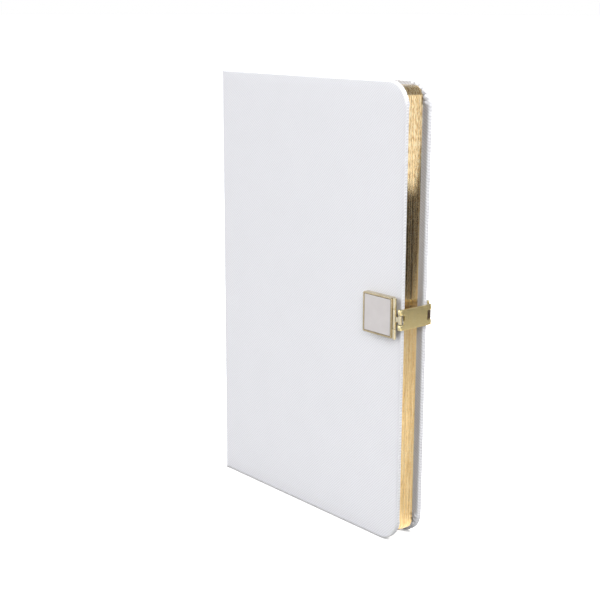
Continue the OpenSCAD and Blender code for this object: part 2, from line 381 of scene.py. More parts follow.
WORN_UNTIL = 150.0   # the gilt is mottled up to here, measured round the leaf edges from the head
CLOTH_WHITE = 0.87
CLOTH_BLUE = 1.035   # blue of the cloth against its red and green
TWILL_PITCH = 1.35
THREAD_PITCH = 0.42
FLARE_FROM = high(LAST)[1] - 4.4  # past here the leaf edges lean towards the back cover
FLARE = 0.23


def cover_cloth(name, flat=True, relief=0.35, depth=0.12, shade=0.75, climb=1.0):
    """White twill: ribs that climb across the threads, with painted shade in the hollows between
    them.
    """
    n = Nodes(name)
    place = n.flat() if flat else n.place()
    drift = n.noise(place, 0.35, 2.0)
    u, v, w = n.split(place)
    if not flat:
        v = w
    slope = n.math("SUBTRACT", n.math("MULTIPLY", u, climb), v)
    rib = n.wave(n.math("MULTIPLY_ADD", drift, 1.2, slope), TWILL_PITCH)
    warp = n.wave(u, THREAD_PITCH)
    weft = n.wave(v, THREAD_PITCH)
    threads = n.math("MULTIPLY", warp, weft)
    fuzz = n.noise(place, 6.0, 4.0, 0.7)
    fluff = n.math("MULTIPLY", fuzz, 0.25)
    height = n.math("MULTIPLY_ADD", rib, 0.6, n.math("MULTIPLY_ADD", threads, 0.3, fluff))
    patch = n.noise(place, 0.06, 3.0)
    tone = n.math("MULTIPLY_ADD", patch, 0.15, n.math("MULTIPLY", height, 0.8))
    # Painted shade: the low parts of the weave are coloured darker, down to the shade level.
    levels = ((0.2, shade), (0.5, (shade + CLOTH_WHITE) / 2), (0.75, CLOTH_WHITE))
    colour = n.ramp(tone, [(at, (level, level, level * CLOTH_BLUE)) for at, level in levels])
    n.bump(height, relief, depth)
    return n.finish(Base_Color=colour, Roughness=n.range(fuzz, 0.3, 0.7, 0.78, 0.92),
                    Sheen_Weight=0.15, Sheen_Roughness=0.5)


def paper(name, colour):
    n = Nodes(name)
    place = n.flat()
    fibre = n.noise(n.scaled(place, (1.0, 1.0, 0.35)), 2.2, 5.0, 0.65)
    cloud = n.noise(place, 0.08, 2.0)
    tone = n.math("MULTIPLY_ADD", fibre, 0.6, n.math("MULTIPLY", cloud, 0.4))
    dark = tuple(c * 0.93 for c in colour)
    n.bump(fibre, 0.25, 0.03)
    return n.finish(Base_Color=n.mix(tone, dark, colour),
                    Roughness=n.range(fibre, 0.3, 0.7, 0.72, 0.86))


def gilt():
    """Gold leaf on the edges of the leaves: streaked along them, and mottled where it is worn."""
    n = Nodes("page_gilt")
    place = n.flat()
    along, across, _ = n.split(place)
    streak = n.noise(n.scaled(place, (0.04, 2.0, 1.0)), 1.0, 3.0, 0.6)
    mottle = n.noise(n.scaled(place, (0.10, 0.8, 1.0)), 1.0, 4.0, 0.6)
    fleck = n.noise(n.scaled(place, (0.38, 1.5, 1.0)), 1.0, 2.0, 0.6)
    worn = n.range(along, WORN_UNTIL, WORN_UNTIL + 45.0, 1.0, 0.25)
    spots = n.math("MULTIPLY_ADD", n.math("SUBTRACT", fleck, 0.5), worn, 0.5)
    spots = n.math("MULTIPLY", spots, 0.6)
    tone = n.math("MULTIPLY_ADD", streak, 0.25, n.math("MULTIPLY_ADD", mottle, 0.15, spots))
    colour = n.ramp(tone, [(0.41, (0.60, 0.38, 0.17)), (0.48, (0.88, 0.64, 0.33)),
                           (0.55, (0.98, 0.81, 0.51))])
    leaf = n.noise(n.scaled(place, (0.004, 3.0, 1.0)), 1.0, 0.0)
    height = n.math("MULTIPLY_ADD", streak, 0.05, n.math("MULTIPLY_ADD", mottle, 0.008, leaf))
    past = n.math("MAXIMUM", n.math("SUBTRACT", across, FLARE_FROM), 0.0)
    height = n.math("MULTIPLY_ADD", n.math("MULTIPLY", past, past), FLARE, height)
    n.bump(height, 1.0, 0.15)
    leaf_lines = n.add("ShaderNodeTangent", direction_type="UV_MAP", uv_map="flat_mm")
    return n.finish(Base_Color=colour, Metallic=1.0, Anisotropic=1.0, Anisotropic_Rotation=0.25,
                    Roughness=n.range(mottle, 0.3, 0.7, 0.11, 0.15), Tangent=leaf_lines.outputs[0])


def metal(name, colour, worn, roughness, brushed=False):
    """Metal with fine scratches, and clouds of a second, worn colour."""
    n = Nodes(name)
    place = n.place()
    grain = (0.4, 0.4, 6.0) if brushed else (2.5, 2.5, 0.5)
    scratch = n.noise(n.scaled(place, grain), 1.0, 4.0, 0.6)
    cloud = n.noise(place, 0.35, 3.0)
    tone = n.math("MULTIPLY_ADD", scratch, 0.35, n.math("MULTIPLY", cloud, 0.65))
    n.bump(scratch, 0.05, 0.02)
    wear = n.range(tone, 0.35, 0.65, 0.0, 1.0)
    return n.finish(Base_Color=n.mix(wear, worn, colour), Metallic=1.0,
                    Roughness=n.range(tone, 0.3, 0.7, roughness * 1.35, roughness * 0.8))


def enamel():
    """The pale panel of the clasp, under a thin clear coat."""
    n = Nodes("clasp_inlay")
    place = n.place()
    cloud = n.noise(place, 0.25, 3.0)
    grain = n.noise(place, 5.0, 3.0)
    n.bump(grain, 0.06, 0.01)
    return n.finish(Base_Color=n.mix(cloud, (0.60, 0.565, 0.555), (0.68, 0.645, 0.635)),
                    Roughness=n.range(grain, 0.3, 0.7, 0.28, 0.4),
                    Coat_Weight=0.35, Coat_Roughness=0.08)


def board_material():
    n = Nodes("greyboard")
    fibre = n.noise(n.scaled(n.place(), (0.5, 2.0, 0.5)), 2.0, 6.0, 0.7)
    n.bump(fibre, 0.4, 0.08)
    return n.finish(Base_Color=n.mix(fibre, (0.30, 0.26, 0.21), (0.47, 0.43, 0.37)), Roughness=0.92)


def foam_material():
    n = Nodes("foam")
    cells = n.add("ShaderNodeTexVoronoi")
    n.feed(cells.inputs["Vector"], n.place())
    cells.inputs["Scale"].default_value = 3.0
    distance = cells.outputs["Distance"]
    n.bump(distance, 0.5, 0.1)
    return n.finish(Base_Color=n.mix(distance, (0.74, 0.74, 0.72), (0.86, 0.86, 0.84)),
                    Roughness=0.95)


def gauze():
    n = Nodes("lining_gauze")
    _, y, z = n.split(n.place())
    weave = n.math("MAXIMUM", n.wave(y, 0.8), n.wave(z, 0.8))
    n.bump(weave, 0.6, 0.12)
    return n.finish(Base_Color=n.mix(weave, (0.50, 0.45, 0.36), (0.80, 0.76, 0.68)), Roughness=0.9)


def thread_material():
    n = Nodes("thread")
    _, y, z = n.split(n.place())
    twist = n.wave(n.math("ADD", y, n.math("MULTIPLY", z, 0.8)), 0.3)
    n.bump(twist, 0.6, 0.05)
    return n.finish(Base_Color=n.mix(twist, (0.62, 0.60, 0.55), (0.86, 0.84, 0.80)), Roughness=0.7)


def headband_silk():
    n = Nodes("headband_cloth")
    place = n.place()
    _, y, _ = n.split(place)
    wrap = n.wave(y, 0.6)
    fuzz = n.noise(place, 8.0, 3.0)
    n.bump(n.math("MULTIPLY_ADD", wrap, 0.8, n.math("MULTIPLY", fuzz, 0.2)), 0.5, 0.1)
    return n.finish(Base_Color=n.mix(wrap, (0.66, 0.62, 0.54), (0.88, 0.86, 0.80)), Roughness=0.6,
                    Sheen_Weight=0.3)


CLOTH = cover_cloth("cover_cloth")
# The turned-in cloth has deeper painted shade in its hollows than the face.
CLOTH_TURNED = cover_cloth("cover_cloth_turned_in", relief=0.9, depth=0.15, shade=0.66, climb=0.62)
CLOTH_RIGID = cover_cloth("cover_cloth_inside", flat=False)
PAGE = paper("page_paper", (0.84, 0.80, 0.70))
ENDPAPER = paper("endpaper_bent", (0.82, 0.80, 0.75))
GILT = gilt()
GOLD = metal("clasp_gold", (1.0, 0.88, 0.52), (0.94, 0.80, 0.44), 0.21)
# Painted highlight: a lighter copy of the gold for the front link and the front plate's knuckles,
# which catch light.
GOLD_LIT = metal("clasp_gold_painted_highlight", (1.0, 0.92, 0.70), (0.80, 0.70, 0.48), 0.2)
GOLD_FRAME = metal("clasp_frame_gold", (0.74, 0.64, 0.44), (0.56, 0.47, 0.30), 0.2)
# Painted shade: a dark gold for the groove round the panel, under the frame's lip.
GOLD_SHADE = metal("clasp_groove_painted_shade", (0.36, 0.28, 0.19), (0.25, 0.19, 0.12), 0.35)
# Painted shade: a near-black copy of the gold, for the rear link that lies in shade.
GOLD_PAINTED_SHADE = metal("clasp_painted_shade", (0.17, 0.13, 0.10), (0.09, 0.07, 0.06), 0.3)
STEEL = metal("clasp_steel", (0.62, 0.62, 0.63), (0.48, 0.48, 0.50), 0.3, brushed=True)
INLAY = enamel()


# ---- Covers ----

BEND_R = 1.0  # outer radius of the cloth at the corner of the spine
SPINE_FLAT = BOOK_T / 2 - BEND_R  # half the spine, without the corner
BEND_LENGTH = BEND_R * QUARTER
SHEET_W = SPINE_FLAT + BEND_LENGTH + COVER_W - BEND_R
SKIN_STEP_X = 1.25  # where the cloth changes from a single layer to a wrapped board
HEM_T = 0.34  # the single layer and its hem
PAD = 0.24  # how far a cover's face drops towards its soft edge
PAD_RISE = 3.0  # the drop builds up over this length from the spine
PAD_FADE = 3.5  # and fades over this one, in from the edge
PLEATS = 6  # at each fore corner
PLEAT_H = 0.9
PLEAT_SPREAD = 0.16
PLEAT_FROM, PLEAT_FADE = 1.1, 0.7  # inside, the pleats flatten from here, over this length
TURN_IN = 9.5
WRAP_R = 0.3  # edges of the boards, under the cloth wrapped round them


def skin_point(u, z, depth):
    """A point of the case's cloth, from its place in the flat sheet and its depth in the cloth."""
    if u < SPINE_FLAT:
        return depth, BOOK_T / 2 - u, z
    if u < SPINE_FLAT + BEND_LENGTH:
        a = (u - SPINE_FLAT) / BEND_R
        r = max(BEND_R - depth, 0.05)
        return BEND_R - r * math.cos(a), BEND_R - r * math.sin(a), z
    return skin_x(u), depth, z


def skin_x(u):
    """Book x of a place on the cover part of the sheet."""
    return BEND_R + u - SPINE_FLAT - BEND_LENGTH


def skin_thickness(u):
    """Full thickness that the cloth wraps at a place across the sheet."""
    return COVER_T if skin_x(u) > SKIN_STEP_X else HEM_T


def skin_stations():
    """Places across the sheet, from the middle of the spine: close together where it bends."""
    spine = [SPINE_FLAT * k / 5 for k in range(5)]
    bend = [SPINE_FLAT + BEND_LENGTH * k / 8 for k in range(9)]
    face_start = SPINE_FLAT + BEND_LENGTH - BEND_R
    across = (1.1, 1.2, 1.3, 1.45, 1.8, 2.5, 4, 7, 12, 20, 35, 55, 80, 105)
    return spine + bend + [face_start + x for x in across]


def skin_rings():
    """The rings of the sheet, from the face round the edge to the turned-in border.

    Each is a kind and a number: the inset on the face, the share of one of the edge's two arcs, or
    the distance past the edge on the inside.
    """
    rings = [("face", d) for d in (10.9, 9.5, 8.0, 6.5, 5.0, 3.6, 2.6, 1.9, 1.4, 1.1)]
    rings += [("round_out", k / 6) for k in range(7)]
    rings += [("round_in", k / 6) for k in range(7)]
    rings += [("inner", d) for d in (0.3, 0.7, 1.1, 1.6, 2.1, 2.7, 3.4, 4.2, 5.5, TURN_IN)]
    return rings


def pleat_wave(angle_share):
    """Rounded ridges with sharp creases between them."""
    wave = abs(math.sin(math.pi * PLEATS * angle_share))
    return wave ** 0.4 * (0.82 + 0.18 * math.sin(angle_share * 17.0))


def corner_share(direction):
    """How far round a fore corner a direction points, from 0 to 1, or None on straight edges."""
    x, z = abs(direction[0]), abs(direction[1])
    return math.atan2(x, z) / QUARTER if x > 1e-6 and z > 1e-6 else None


def cover_skin(side):
    """Half of the case's cloth: a cover and its half of the spine, turned in all round."""
    path, inward, head = border(skin_stations(), SHEET_W, 0.0, COVER_H, CORNER_R, corner_steps=54)
    count = len(path)
    kinds = skin_rings()
    rings, uvs = [], []
    for kind, value in kinds:
        for (u, z), direction in zip(path, inward):
            thick = skin_thickness(u)
            edge = min(EDGE_R, thick / 2)
            share = corner_share(direction)
            pad = PAD * min(max(skin_x(u) - SKIN_STEP_X, 0) / PAD_RISE, 1)
            bulge, spread = 0.0, 0.0
            if kind == "face":
                inset, travel = value, value
                depth = pad * math.exp(-(value - edge) / PAD_FADE)
            elif kind == "round_out":
                a = QUARTER * value
                inset, travel = edge * (1 - math.sin(a)), edge * (1 - a)
                depth = pad + (edge - pad) * (1 - math.cos(a))
            elif kind == "round_in":
                a = QUARTER * value
                inset = edge * (1 - math.cos(a))
                depth = thick - edge * (1 - math.sin(a))
                travel = edge * (1 - (QUARTER - a)) if thick == COVER_T else 0.0
                if share is not None:
                    spread = PLEAT_SPREAD * value * pleat_wave(share)
                    bulge = PLEAT_H * 0.5 * value * pleat_wave(share)
            else:
                inset, depth, travel = edge + value, thick, edge + value
                if share is not None:
                    fade = 1 - min(max((value - PLEAT_FROM) / PLEAT_FADE, 0), 1)
                    rise = min(0.5 + value, 1.0)
                    bulge = PLEAT_H * rise * fade * pleat_wave(share)
            flat = np.array([u, z]) + direction * (inset - spread)
            rings.append(skin_point(flat[0], flat[1], depth + bulge))
            uvs.append(tuple(np.array([u, z]) + direction * travel))
    parts = Parts()
    outer = 1 + max(i for i, (kind, _) in enumerate(kinds) if kind == "round_out")
    shared = (outer - 1) * count
    parts.patch(rings[:outer * count], grid_faces(outer, count), uvs)
    parts.patch(rings[shared:], grid_faces(len(kinds) - outer + 1, count), uvs[shared:], slot=1)
    parts.patch(rings[:count], fill_faces(count, head), uvs[:count])
    piece = parts.turned(side).build(f"{side}_cover_cloth", [CLOTH, CLOTH_TURNED], sharp=50)
    shell = piece.modifiers.new("cloth thickness", "SOLIDIFY")
    shell.thickness = CLOTH_T * MM
    shell.offset = -1.0
    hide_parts(f"{side}_cloth", "spine_cloth")
    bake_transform(piece)


def wrapped_edge(parts, x0, x1, y0, y1):
    """A long upright box with rounded edges, closed just inside the head and the tail."""
    softened = [(0.1, 0.25), (0.18, 0.08), (0.35, 0.0)]
    levels = softened + [(COVER_H - z, inset) for z, inset in softened[::-1]]
    rings = []
    for z, inset in levels:
        outline = rounded_rect(x0 + inset, x1 - inset, y0 + inset, y1 - inset, WRAP_R)
        rings += [(x, y, z) for x, y in outline[::-1]]
    count = len(rings) // len(levels)
    uvs = [(x + y, z) for x, y, z in rings]
    parts.patch(rings, grid_faces(len(levels), count, wrap=True), uvs)
    parts.patch(rings, cap_faces(len(rings), count), uvs)


def joint_wraps():
    """Cloth wrapped round the spine board, and round the spine-side edge of each cover board."""
    parts = Parts()
    over = 0.12
    wrapped_edge(parts, CLOTH_T + 0.02, high("spine_board")[0] + over,
                 SPINE_Y[0] - over, SPINE_Y[1] + over)
    spine = parts.build("spine_turned_in_cloth", [CLOTH_RIGID], sharp=50)
    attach(spine, "spine")
    for side in ("front", "back"):
        parts = Parts()
        wrapped_edge(parts, 0.56, 3.2, CLOTH_T + 0.06, COVER_T - 0.03)
        piece = parts.turned(side).build(f"{side}_joint_cloth", [CLOTH_RIGID], sharp=50)
        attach(piece, f"{side}_cover")


def pastedown(side):
    """The endpaper glued inside a cover. It runs on round the board's edge into the joint."""
    sunk = 0.05
    half = (high("front_pastedown")[1] - COVER_T) / 2
    side_x, turn_r = 0.42, 0.3
    run = COVER_T - 0.6
    turn_end = run + turn_r * QUARTER
    stations = [0.0, run * 0.5, run, run + 0.16, run + 0.32, run + 0.48]
    stations += [6, 12, 14, 16, 30, 60, 90, 105]
    width = COVER_W - MARGIN - side_x - turn_r + turn_end
    path, inward, head = border(stations, width, MARGIN, COVER_H - MARGIN, CORNER_R - MARGIN,
                                corner_steps=20)

    def fold(u, z, lift):
        middle_y = COVER_T - sunk + half
        if u < run:
            return side_x - lift, 0.55 + u, z
        if u < turn_end:
            a = (u - run) / turn_r
            return (side_x + turn_r - (turn_r + lift) * math.cos(a),
                    middle_y - turn_r + (turn_r + lift) * math.sin(a), z)
        return side_x + turn_r + u - turn_end, middle_y + lift, z

    lift = half + sunk
    rings, uvs = [], []
    for inset, height in ((0.0, lift * 0.3), (0.08, lift), (3.0, lift)):
        for (u, z), direction in zip(path, inward):
            flat = np.array([u, z]) + direction * inset
            rings.append(fold(flat[0], flat[1], height))
            uvs.append(tuple(flat))
    count = len(path)
    last = len(rings) - count
    parts = Parts()
    parts.patch(rings, grid_faces(len(rings) // count, count, flip=True), uvs)
    parts.patch(rings[last:], fill_faces(count, head, flip=True), uvs[last:])
    piece = parts.turned(side).build(f"{side}_pastedown_paper", [ENDPAPER], sharp=50)
    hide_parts(f"{side}_pastedown")
    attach(piece, f"{side}_cover")


# ---- Leaves ----

BEND_IN, BEND_OUT = 0.4, 10.5     # where the gutter's curve starts and ends, from the fold
FOLD_STATIONS = [0.4, 1.0, 1.8, 2.6, 3.5, 4.5, 5.5, 6.5, 7.5, 8.5, 9.5, 10.5, 12, 20, 50, 85, 110]


def leaf_block(name, y0, y1, side_material, node):
    """A stack of leaves with gilt edges: two paper faces, gilt border and a rounded fold.

    It takes the place of a node and stays flat: the two ends of the gutter's curve are found but
    not used.
    """
    parts = Parts()
    stations = [FOLD_X + s for s in FOLD_STATIONS]
    path, _, head = border(stations, BLOCK_X, *BLOCK_Z, BLOCK_R, corner_steps=14, fore_steps=10)
    count = len(path)
    for y, flip in ((y0, False), (y1, True)):
        face = [(x, y, z) for x, z in path]
        parts.patch(face, fill_faces(count, head, flip), [(x, z) for x, z in path])
    travel = np.concatenate([[0], np.cumsum(np.linalg.norm(np.diff(path, axis=0), axis=1))])
    edge = [(x, y, z) for y in (y0, y1) for x, z in path]
    parts.patch(edge, grid_faces(2, count), [(t, y) for y in (y0, y1) for t in travel], slot=1)
    half, middle = (y1 - y0) / 2, (y0 + y1) / 2
    nose = [(stations[0] - half * math.cos(a), middle + half * math.sin(a))
            for a in (QUARTER * (k / 4 - 1) for k in range(9))]
    points = [(x, y, z) for x, y in nose for z in BLOCK_Z]
    parts.patch(points, grid_faces(len(nose), 2, flip=True), [(y, z) for x, y, z in points])
    for end in range(2):
        ring = [2 * k + end for k in range(len(nose))]
        parts.patch(points, [ring if end else ring[::-1]], [(x, y) for x, y, z in points], slot=1)
    piece = parts.build(name, [side_material, GILT], sharp=40)
    centre_y = (low(node)[1] + high(node)[1]) / 2
    start, end = (metres([FOLD_X + x, centre_y, COVER_H / 2]) for x in (BEND_IN, BEND_OUT))
    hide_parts(node)
    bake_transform(piece)


def leaves():
    """The sections, each with a hair of room beside it, and the two free endpapers."""
    gap = 0.012
    start_y = low(FIRST)[1] - 0.02
    for i, section in enumerate(SECTIONS):
        y0 = start_y + PITCH * i
        y1 = y0 + PITCH - gap / 2
        leaf_block(f"leaves_{i + 1:02d}", y0 + gap / 2, y1, PAGE, section)
    for side in ("front", "back"):
        node = f"{side}_flyleaf"
        leaf_block(f"{side}_free_endpaper", low(node)[1], high(node)[1], ENDPAPER, node)


def headbands():
    """Cloth rolls over the folds, with the ridges of the thread that is worked over them."""
    silk = headband_silk()
    ridges, steps = 15, 6
    for node in ("headband", "tailband"):
        at_head = node == "headband"
        lo, hi = low(node), high(node)
        radius = (hi[0] - lo[0]) / 2
        centre_x = lo[0] + radius
        centre_z = hi[2] - radius if at_head else lo[2] + radius
        length = hi[1] - lo[1]
        profile = [(0, 0)]
        for k in range(ridges * steps + 1):
            share = k / (ridges * steps)
            ridge = abs(math.sin(math.pi * ridges * share)) ** 0.6
            profile.append((length * share, radius * (0.84 + 0.16 * ridge)))
        profile.append((length, 0))
        parts = Parts()
        revolve(parts, (centre_x, lo[1], centre_z), (centre_x, hi[1], centre_z), profile, steps=24)
        # the glued tail of the cloth, a sheet with two faces
        strip = (lo[1] + 0.05, hi[1] - 0.05)
        ends = (lo[2], centre_z) if at_head else (centre_z, hi[2])
        for x in (lo[0] + 0.02, lo[0] + 0.2):
            corners = [(x, strip[0], ends[0]), (x, strip[1], ends[0]),
                       (x, strip[1], ends[1]), (x, strip[0], ends[1])]
            parts.patch(corners, [[0, 1, 2, 3]], [(0, 0), (1, 0), (1, 1), (0, 1)])
        piece = parts.build(f"{node}_roll", [silk], sharp=60)
        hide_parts(node)
        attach(piece, "spine")


# ---- Clasp ----

def upright_axis(pin):
    """Book x and y of an upright pin."""
    return (low(pin) + high(pin))[:2] / 2


FRONT_HINGE, FRONT_HOOK = upright_axis("front_hinge_pin"), upright_axis("front_link_pin")
REAR_HOOK, REAR_HINGE = upright_axis("strap_pin"), upright_axis("rear_hinge_pin")
BARREL_R, ROLL_R, PIN_R = 0.85, 1.05, 0.4
FRONT_LINK_H, REAR_LINK_H = 8.8, 4.8  # the links' long barrels, between a plate's knuckles
REAR_HINGE_H = 10.4
HOOK_HALF = 1.95  # half the links' short barrels
STRAP_HALF, NOTCH_HALF, NOTCH_DEPTH = 4.7, 2.2, 1.9
CLASP_R = 0.9  # corners of the two plates
FRAME_LO, FRAME_HI = low("front_clasp_frame"), high("front_clasp_frame")
PLATE = FRAME_HI[2] - FRAME_LO[2]
FRAME_W = low("front_clasp_inlay")[0] - FRAME_LO[0]


def metal_piece(parts, name, body, materials, node):
    """One finished piece of the clasp, which rides on a body and replaces a CAD node."""
    piece = parts.build(name, materials, sharp=30)
    even = piece.modifiers.new("flat faces stay flat", "WEIGHTED_NORMAL")
    even.keep_sharp = True
    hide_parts(node)
    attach(piece, body)


def tongue(parts, start, end, z0, z1, thick):
    """A flat bar between two upright axes, with softened edges."""
    edge = 0.12
    a, b = np.array(start), np.array(end)
    run = np.linalg.norm(b - a)
    along = (b - a) / run
    across = np.array([-along[1], along[0]])
    rings = []
    half = thick / 2
    sections = [(-half, edge), (-half + edge, 0), (half - edge, 0), (half, edge)]
    for offset, inset in sections:
        for s, z in ((0, z0 + inset), (run, z0 + inset), (run, z1 - inset), (0, z1 - inset)):
            rings.append((*(a + along * s + across * offset), z))
    uvs = [(p[0] + p[1], p[2]) for p in rings]
    parts.patch(rings, grid_faces(len(sections), 4, wrap=True, flip=True), uvs)
    parts.patch(rings, [[0, 1, 2, 3], [15, 14, 13, 12]], uvs)


def knuckles(parts, hinge, plate_x, hinge_h, link_h, slot=0):
    """The two outer barrels of a plate, each on a short tab."""
    gap = 0.25
    half, inner = hinge_h / 2, link_h / 2 + gap
    for lo_z, hi_z in ((CLASP_Z - half, CLASP_Z - inner), (CLASP_Z + inner, CLASP_Z + half)):
        barrel(parts, hinge, lo_z, hi_z, BARREL_R, slot=slot)
        tongue(parts, (plate_x - 0.5, hinge[1]), tuple(hinge), lo_z, hi_z, 0.7)


def link_piece(node, hinge, hook, long_h, material):
    """A T-shaped link: a long barrel, a neck that tapers in two steps and a short barrel."""
    parts = Parts()
    barrel(parts, hinge, CLASP_Z - long_h / 2, CLASP_Z + long_h / 2, BARREL_R)
    barrel(parts, hook, CLASP_Z - HOOK_HALF, CLASP_Z + HOOK_HALF, BARREL_R)
    for half_h, share in ((1.2, 1.0), (1.75, 0.30), (2.3, 0.22)):
        reach = hinge + (hook - hinge) * share
        tongue(parts, hinge, reach, CLASP_Z - half_h, CLASP_Z + half_h, 0.8)
    metal_piece(parts, f"clasp_{node}", node, [material], node)


def pin_piece(name, body, centre, half, node, radius=PIN_R):
    """A pin whose ends are slightly domed, and stand proud of its length by a little."""
    parts = Parts()
    z0, z1, proud = CLASP_Z - half, CLASP_Z + half, 0.04
    length = z1 - z0
    dome = [(0, 0), (0.02, radius * 0.6), (0.1, radius * 0.92), (0.2, radius)]
    profile = [(a - proud, r) for a, r in dome]
    profile += [(length - a + proud, r) for a, r in dome[::-1]]
    revolve(parts, (*centre, z0), (*centre, z1), profile)
    metal_piece(parts, name, body, [GOLD], node)


def front_plate():
    """The square tray with its pale panel, on the steel plate that is riveted to the cover."""
    base_lo, base_hi = low("front_clasp_base"), high("front_clasp_base")
    x0, x1 = FRAME_LO[0], FRAME_LO[0] + PLATE
    z0, z1 = FRAME_LO[2], FRAME_HI[2]
    y_out, y_in = FRAME_LO[1], base_lo[1] + 0.9
    sink = 0.22
    parts = Parts()
    # The groove round the panel is painted shade, in a dark gold.
    groove = [(sink, 0.0), (0.12, 0.3), (0.04, 0.38), (0.0, 0.5)]
    levels = [(y_out + y, FRAME_W - inset) for y, inset in groove]
    levels += [(y_out, 0.3), (y_out + 0.07, 0.12), (y_out + 0.25, 0.02), (y_out + 0.5, 0.0),
               (y_in - 0.12, 0.0), (y_in, 0.12)]
    plate(parts, (x0, x1, z0, z1), CLASP_R, levels, groove_slot=2)
    # The knuckles take the lighter gold, a painted highlight.
    knuckles(parts, FRONT_HINGE, x1, PLATE, FRONT_LINK_H, slot=1)
    metal_piece(parts, "clasp_front_plate", "front_cover", [GOLD_FRAME, GOLD_LIT, GOLD_SHADE],
                "front_clasp_frame")
    parts = Parts()
    inset = FRAME_W - 0.03
    levels = [(y_out + 0.1, inset + 0.16), (y_out + 0.13, inset + 0.05), (y_out + 0.2, inset),
              (y_out + 0.5, inset)]
    plate(parts, (x0, x1, z0, z1), CLASP_R, levels)
    metal_piece(parts, "clasp_inlay_panel", "front_cover", [INLAY], "front_clasp_inlay")
    parts = Parts()
    plate(parts, (base_lo[0], base_hi[0], base_lo[2], base_hi[2]), 0.6,
          bevelled_levels(-0.6, 0.0, 0.1))
    metal_piece(parts, "clasp_mounting_plate", "front_cover", [STEEL], "front_clasp_base")


def rear_plate():
    """The plain plate on the back cover, with its two domed rivets."""
    y0, y1 = BOOK_T, BOOK_T + 1.1
    x1 = REAR_HINGE[0] - BARREL_R - 0.25
    x0 = x1 - PLATE
    parts = Parts()
    levels = [(y0, 0.1), (y0 + 0.05, 0.02), (y0 + 0.15, 0.0),
              (y1 - 0.3, 0.0), (y1 - 0.1, 0.08), (y1, 0.3)]
    plate(parts, (x0, x1, CLASP_Z - PLATE / 2, CLASP_Z + PLATE / 2), CLASP_R, levels)
    knuckles(parts, REAR_HINGE, x1, REAR_HINGE_H, REAR_LINK_H)
    metal_piece(parts, "clasp_rear_plate", "back_cover", [GOLD], "rear_clasp_plate")
    parts = Parts()
    centre_x = (x0 + x1) / 2
    shank, rim = [(0.0, 0.8), (1.0, 0.8)], [(1.02, 1.6), (1.1, 1.66), (1.22, 1.6)]
    dome = [(1.4, 1.3), (1.52, 0.8), (1.57, 0.3), (1.58, 0.0)]
    for z in (CLASP_Z - 4.5, CLASP_Z + 4.5):
        revolve(parts, (centre_x, y0, z), (centre_x, y0 + 2, z), shank + rim + dome)
    metal_piece(parts, "clasp_rear_rivets", "back_cover", [GOLD], "rear_clasp_rivets")


def strap_outline(edge):
    """The strap seen from the fore edge: a bar with a notch in each end, drawn in by an edge."""
    y0, y1 = FRONT_HOOK[1], REAR_HOOK[1]
    half, notch, depth = STRAP_HALF - edge, NOTCH_HALF + edge, NOTCH_DEPTH + edge
    return [(y0, -half), (y1, -half), (y1, -notch), (y1 - depth, -notch), (y1 - depth, notch),
            (y1, notch), (y1, half), (y0, half), (y0, notch), (y0 + depth, notch),
            (y0 + depth, -notch), (y0, -notch)]


def strap_piece():
    """The bar across the fore edge, with a rolled eye on each side of its two notches."""
    parts = Parts()
    x_mid, thick, edge = FRONT_HOOK[0] + ROLL_R - 0.53, 1.0, 0.14
    levels = bevelled_levels(-thick / 2, thick / 2, edge)
    rings = []
    for x, inset in levels:
        rings += [(x_mid + x, y, CLASP_Z + z) for y, z in strap_outline(inset)]
    count = len(rings) // len(levels)
    uvs = [(p[1], p[2]) for p in rings]
    parts.patch(rings, grid_faces(len(levels), count, wrap=True), uvs)
    parts.patch(rings, cap_faces(len(rings), count), uvs)
    for hook in (FRONT_HOOK, REAR_HOOK):
        for z0, z1 in ((-STRAP_HALF, -NOTCH_HALF), (NOTCH_HALF, STRAP_HALF)):
            barrel(parts, hook, CLASP_Z + z0, CLASP_Z + z1, ROLL_R, edge=0.15)
    metal_piece(parts, "clasp_strap", "strap", [GOLD], "strap")


def clasp():
    front_plate()
    rear_plate()
    strap_piece()
    # The front link takes the lighter gold, a painted highlight.
    link_piece("front_link", FRONT_HINGE, FRONT_HOOK, FRONT_LINK_H, GOLD_LIT)
    # The rear link takes the near-black gold, which is painted shade.
    link_piece("rear_link", REAR_HINGE, REAR_HOOK, REAR_LINK_H, GOLD_PAINTED_SHADE)
    pin_piece("front_plate_pin", "front_cover", FRONT_HINGE, PLATE / 2, "front_hinge_pin")
    pin_piece("rear_plate_pin", "back_cover", REAR_HINGE, REAR_HINGE_H / 2, "rear_hinge_pin")
    pin_piece("strap_fork_pin", "strap", REAR_HOOK, STRAP_HALF, "strap_pin")
    pin_piece("front_link_core", "front_link", FRONT_HOOK, HOOK_HALF, "front_link_pin", radius=0.42)


# ---- Carried-over CAD nodes ----

def dress_cad():
    """Give the CAD nodes that no piece replaces their materials."""
    board, foam = board_material(), foam_material()
    looks = {"front_board": board, "back_board": board, "spine_board": board, "front_foam": foam,
             "back_foam": foam, "spine_lining": gauze(), "sewing_thread": thread_material(),
             "front_clasp_rivets": STEEL}
    for node, material in looks.items():
        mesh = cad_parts[node].data
        mesh.materials.clear()
        mesh.materials.append(material)


# ---- Camera, floor and light ----

CAMERA_AT = Vector(metres([504.8, -373.9, 239.2]))
CAMERA_AZIMUTH, CAMERA_ELEVATION, CAMERA_ROLL = 49.87, 13.22, 0.20
CAMERA_LENS = 74.12
BOOK_MIDDLE = (0, 0, 0.11)

